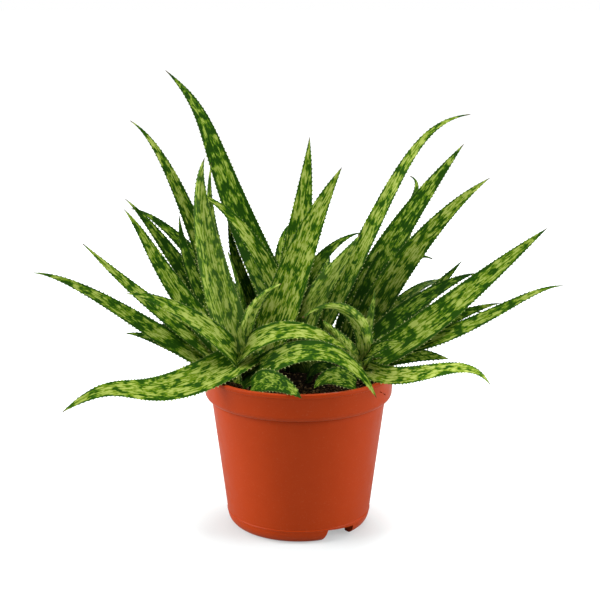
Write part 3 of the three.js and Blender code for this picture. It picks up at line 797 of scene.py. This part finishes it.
def soil(material):
    foot = PANEL_Z + WALL + GAP
    shoulder = COLLAR_R - WALL - GAP
    outline = [
        (0, foot),
        (wall_radius(foot) - WALL - SOIL_FOOT_IN, foot),
        (WALL_TOP_R - WALL - 2 * GAP, COLLAR_BOTTOM),
        (shoulder - GAP, COLLAR_BOTTOM + COLLAR_ROUND + SOIL_EDGE),
        (shoulder, SOIL_TOP - SOIL_EDGE),
    ]
    for i in range(SOIL_RINGS, -1, -1):
        share = i / SOIL_RINGS
        outline.append((shoulder * share, SOIL_TOP + SOIL_MOUND * (1 - share * share)))
    piece = turned("soil_mound", outline, SOIL_STEPS)
    for point in piece.data.vertices:
        if point.co.z > (SOIL_TOP - SOIL_TOP_BAND) * MM:
            clod = noise.noise(point.co / (CLOD_SIZE * MM))
            lump = noise.noise(point.co / (LUMP_SIZE * MM) + Vector((7, 3, 1)))
            point.co.z += (CLOD_H * clod + LUMP_H * lump) * MM
    smooth(piece, 40)
    finish_piece(piece, material, ["soil"])


def crumb_seed():
    """One flattened, uneven crumb."""
    deselect()
    bpy.ops.mesh.primitive_ico_sphere_add(subdivisions=1, radius=MM)
    seed = bpy.context.object
    edit_all(seed)
    bpy.ops.transform.resize(value=CRUMB_SHAPE)
    bpy.ops.object.mode_set(mode="OBJECT")
    for point in seed.data.vertices:
        point.co *= 1 + CRUMB_ROUGH * noise.noise(point.co / (CRUMB_ROUGH_SIZE * MM))
    return seed


def fibre_seed():
    """A thin bent strand of coir, lying along X."""
    deselect()
    lying = (0, math.pi / 2, 0)
    bpy.ops.mesh.primitive_cylinder_add(
        vertices=5, radius=FIBRE_R * MM, depth=FIBRE_LENGTH * MM, rotation=lying
    )
    seed = bpy.context.object
    settle(seed)
    edit_all(seed)
    bpy.ops.mesh.subdivide(number_cuts=3)
    bpy.ops.object.mode_set(mode="OBJECT")
    for point in seed.data.vertices:
        bow = point.co.x / (FIBRE_LENGTH / 2 * MM)
        point.co.z -= FIBRE_SAG * MM * bow * bow
        point.co.y += FIBRE_SWAY * MM * math.sin(2.2 * bow)
    return seed


def scatter(name, seed, places):
    """Copies of one small piece, each with its own mesh, joined into one."""
    copies = []
    for place in places:
        copy = bpy.data.objects.new(name, seed.data.copy())
        copy.data.transform(place)
        bpy.context.scene.collection.objects.link(copy)
        copies.append(copy)
    bpy.data.objects.remove(seed)
    deselect()
    for copy in copies:
        copy.select_set(True)
    bpy.context.view_layer.objects.active = copies[0]
    bpy.ops.object.join()
    joined = bpy.context.object
    joined.name = name
    return joined


def soil_spots(count, seed, sizes, sunk):
    """Turned and sized places on top of the soil."""
    draw = random.Random(seed)
    reach = COLLAR_R - WALL - BITS_IN
    places = []
    for _ in range(count):
        radius = reach * math.sqrt(draw.random())
        angle = TURN * draw.random()
        height = SOIL_TOP + SOIL_MOUND * (1 - (radius / reach) ** 2) - sunk * draw.random()
        at = Vector((radius * math.cos(angle), radius * math.sin(angle), height)) * MM
        tilt = Matrix.Rotation(draw.uniform(-BIT_TILT, BIT_TILT), 4, "X")
        turn = Matrix.Rotation(TURN * draw.random(), 4, "Z")
        size = sizes[0] + (sizes[1] - sizes[0]) * draw.random() ** 2
        places.append(Matrix.Translation(at) @ (tilt @ turn) @ Matrix.Scale(size, 4))
    return places


def lay_on_soil(name, one, spots, degrees, finish):
    bits = scatter(name, one, soil_spots(**spots))
    smooth(bits, degrees)
    finish_piece(bits, finish, [])


def stem(name, place, top, material):
    """A short stem ringed by the scars of old leaves."""
    start = STEM_FOOT + STEM_ROOT_H
    end = top - STEM_TAPER_H
    outline = [(0, STEM_FOOT), (STEM_R * 0.7, STEM_FOOT), (STEM_R, start)]
    step = (end - start) / SCAR_COUNT
    for i in range(SCAR_COUNT):
        low = start + (end - start) * i / SCAR_COUNT
        outline += [(STEM_R - SCAR_DEPTH, low + 0.25 * step), (STEM_R, low + 0.8 * step)]
    outline += [(STEM_R, end), (STEM_R * 0.8, top - 8), (STEM_R * 0.55, top - 3), (0, top)]
    piece = turned(f"crown_{name}", outline, STEM_STEPS)
    edit_all(piece)
    bpy.ops.transform.translate(value=(place[0] * MM, place[1] * MM, 0))
    bpy.ops.object.mode_set(mode="OBJECT")
    smooth(piece, 50)
    finish_piece(piece, material, [f"stem_{name}"])


# ---- Studio ---------------------------------------------------------------------------------


def floor():
    """A pale floor that fades to white away from the pot, where only the camera sees its glow; the weaker
    glow near the pot is a painted shadow.
    """
    deselect()
    bpy.ops.mesh.primitive_grid_add(x_subdivisions=8, y_subdivisions=8, size=FLOOR_SIZE)
    piece = bpy.context.object
    piece.name = "studio_floor"
    material, tree, shader = new_material("pale_floor", Roughness=0.9, Base_Color=FLOOR_COLOUR)
    shader.inputs["Emission Color"].default_value = (1, 1, 1, 1)
    inputs = {0: place_of(tree), 1: PAINTED_SHADOW_AT}
    away = add(tree, "ShaderNodeVectorMath", inputs, operation="DISTANCE").outputs["Value"]
    # Painted shadow: the glow is weaker near the pot's foot.
    near = span(tree, away, *NEAR_SPAN, GLOW_FOOT, GLOW_NEAR)
    glow = calc(tree, "ADD", near, span(tree, away, *FAR_SPAN, 0.0, GLOW_FAR - GLOW_NEAR))
    seen = add(tree, "ShaderNodeLightPath").outputs["Is Camera Ray"]
    tree.links.new(calc(tree, "MULTIPLY", glow, seen), shader.inputs["Emission Strength"])
    piece.data.materials.append(material)


def area_light(name, at, size, power):
    """A rectangular light turned towards the middle of the plant."""
    light = bpy.data.lights.new(name, "AREA")
    light.shape = "RECTANGLE"
    light.size, light.size_y = size
    light.energy = power
    lamp = bpy.data.objects.new(name, light)
    lamp.location = at
    lamp.rotation_euler = (Vector(LIT_AT) - Vector(at)).to_track_quat("-Z", "Y").to_euler()
    bpy.context.scene.collection.objects.link(lamp)


def backdrop():
    """A world that is white where the camera sees it and dimmer where it lights the plant."""
    world = bpy.context.scene.world or bpy.data.worlds.new("studio")
    bpy.context.scene.world = world
    world.use_nodes = True
    tree = world.node_tree
    surround = tree.nodes["Background"]
    surround.inputs["Color"].default_value = (1, 1, 1, 1)
    seen = add(tree, "ShaderNodeLightPath").outputs["Is Camera Ray"]
    tree.links.new(span(tree, seen, 0.0, 1.0, AMBIENT, 1.0), surround.inputs["Strength"])


def studio():
    bpy.context.scene.view_settings.view_transform = "Standard"
    floor()
    backdrop()
    for name, (at, size, power) in LIGHTS.items():
        area_light(name, at, size, power)


def camera():
    view = bpy.data.cameras.new("view")
    view.sensor_width = CAMERA_SENSOR
    view.lens = CAMERA_LENS
    view.shift_x = CAMERA_SHIFT_X
    holder = bpy.data.objects.new("view", view)
    holder.location = CAMERA_AT
    holder.rotation_euler = (math.pi / 2 - CAMERA_DOWN, 0, 0)
    bpy.context.scene.collection.objects.link(holder)
    bpy.context.scene.camera = holder


camera()
mottle = mottle_group()
grain = grain_group()
whereabouts = whereabouts_group()
leaf_finish = leaf_material(mottle, whereabouts)
stem_finish = stem_material(mottle)
earths = {name: soil_material(name, grain, whereabouts, *look) for name, look in SOIL_FINISHES.items()}

pot(pot_material(grain, whereabouts))
soil(earths["peat"])
lay_on_soil("soil_crumbs", crumb_seed(), CRUMBS, 50, earths["peat_crumb"])
lay_on_soil("soil_husks", crumb_seed(), HUSKS, 50, earths["coir_husk"])
lay_on_soil("soil_fibres", fibre_seed(), FIBRES, 60, earths["coir_fibre"])
for crown, (place, top) in CROWNS.items():
    stem(crown, place, top, stem_finish)
for number, leaf in enumerate(LEAVES):
    blade(leaf, number, leaf_finish)
studio()
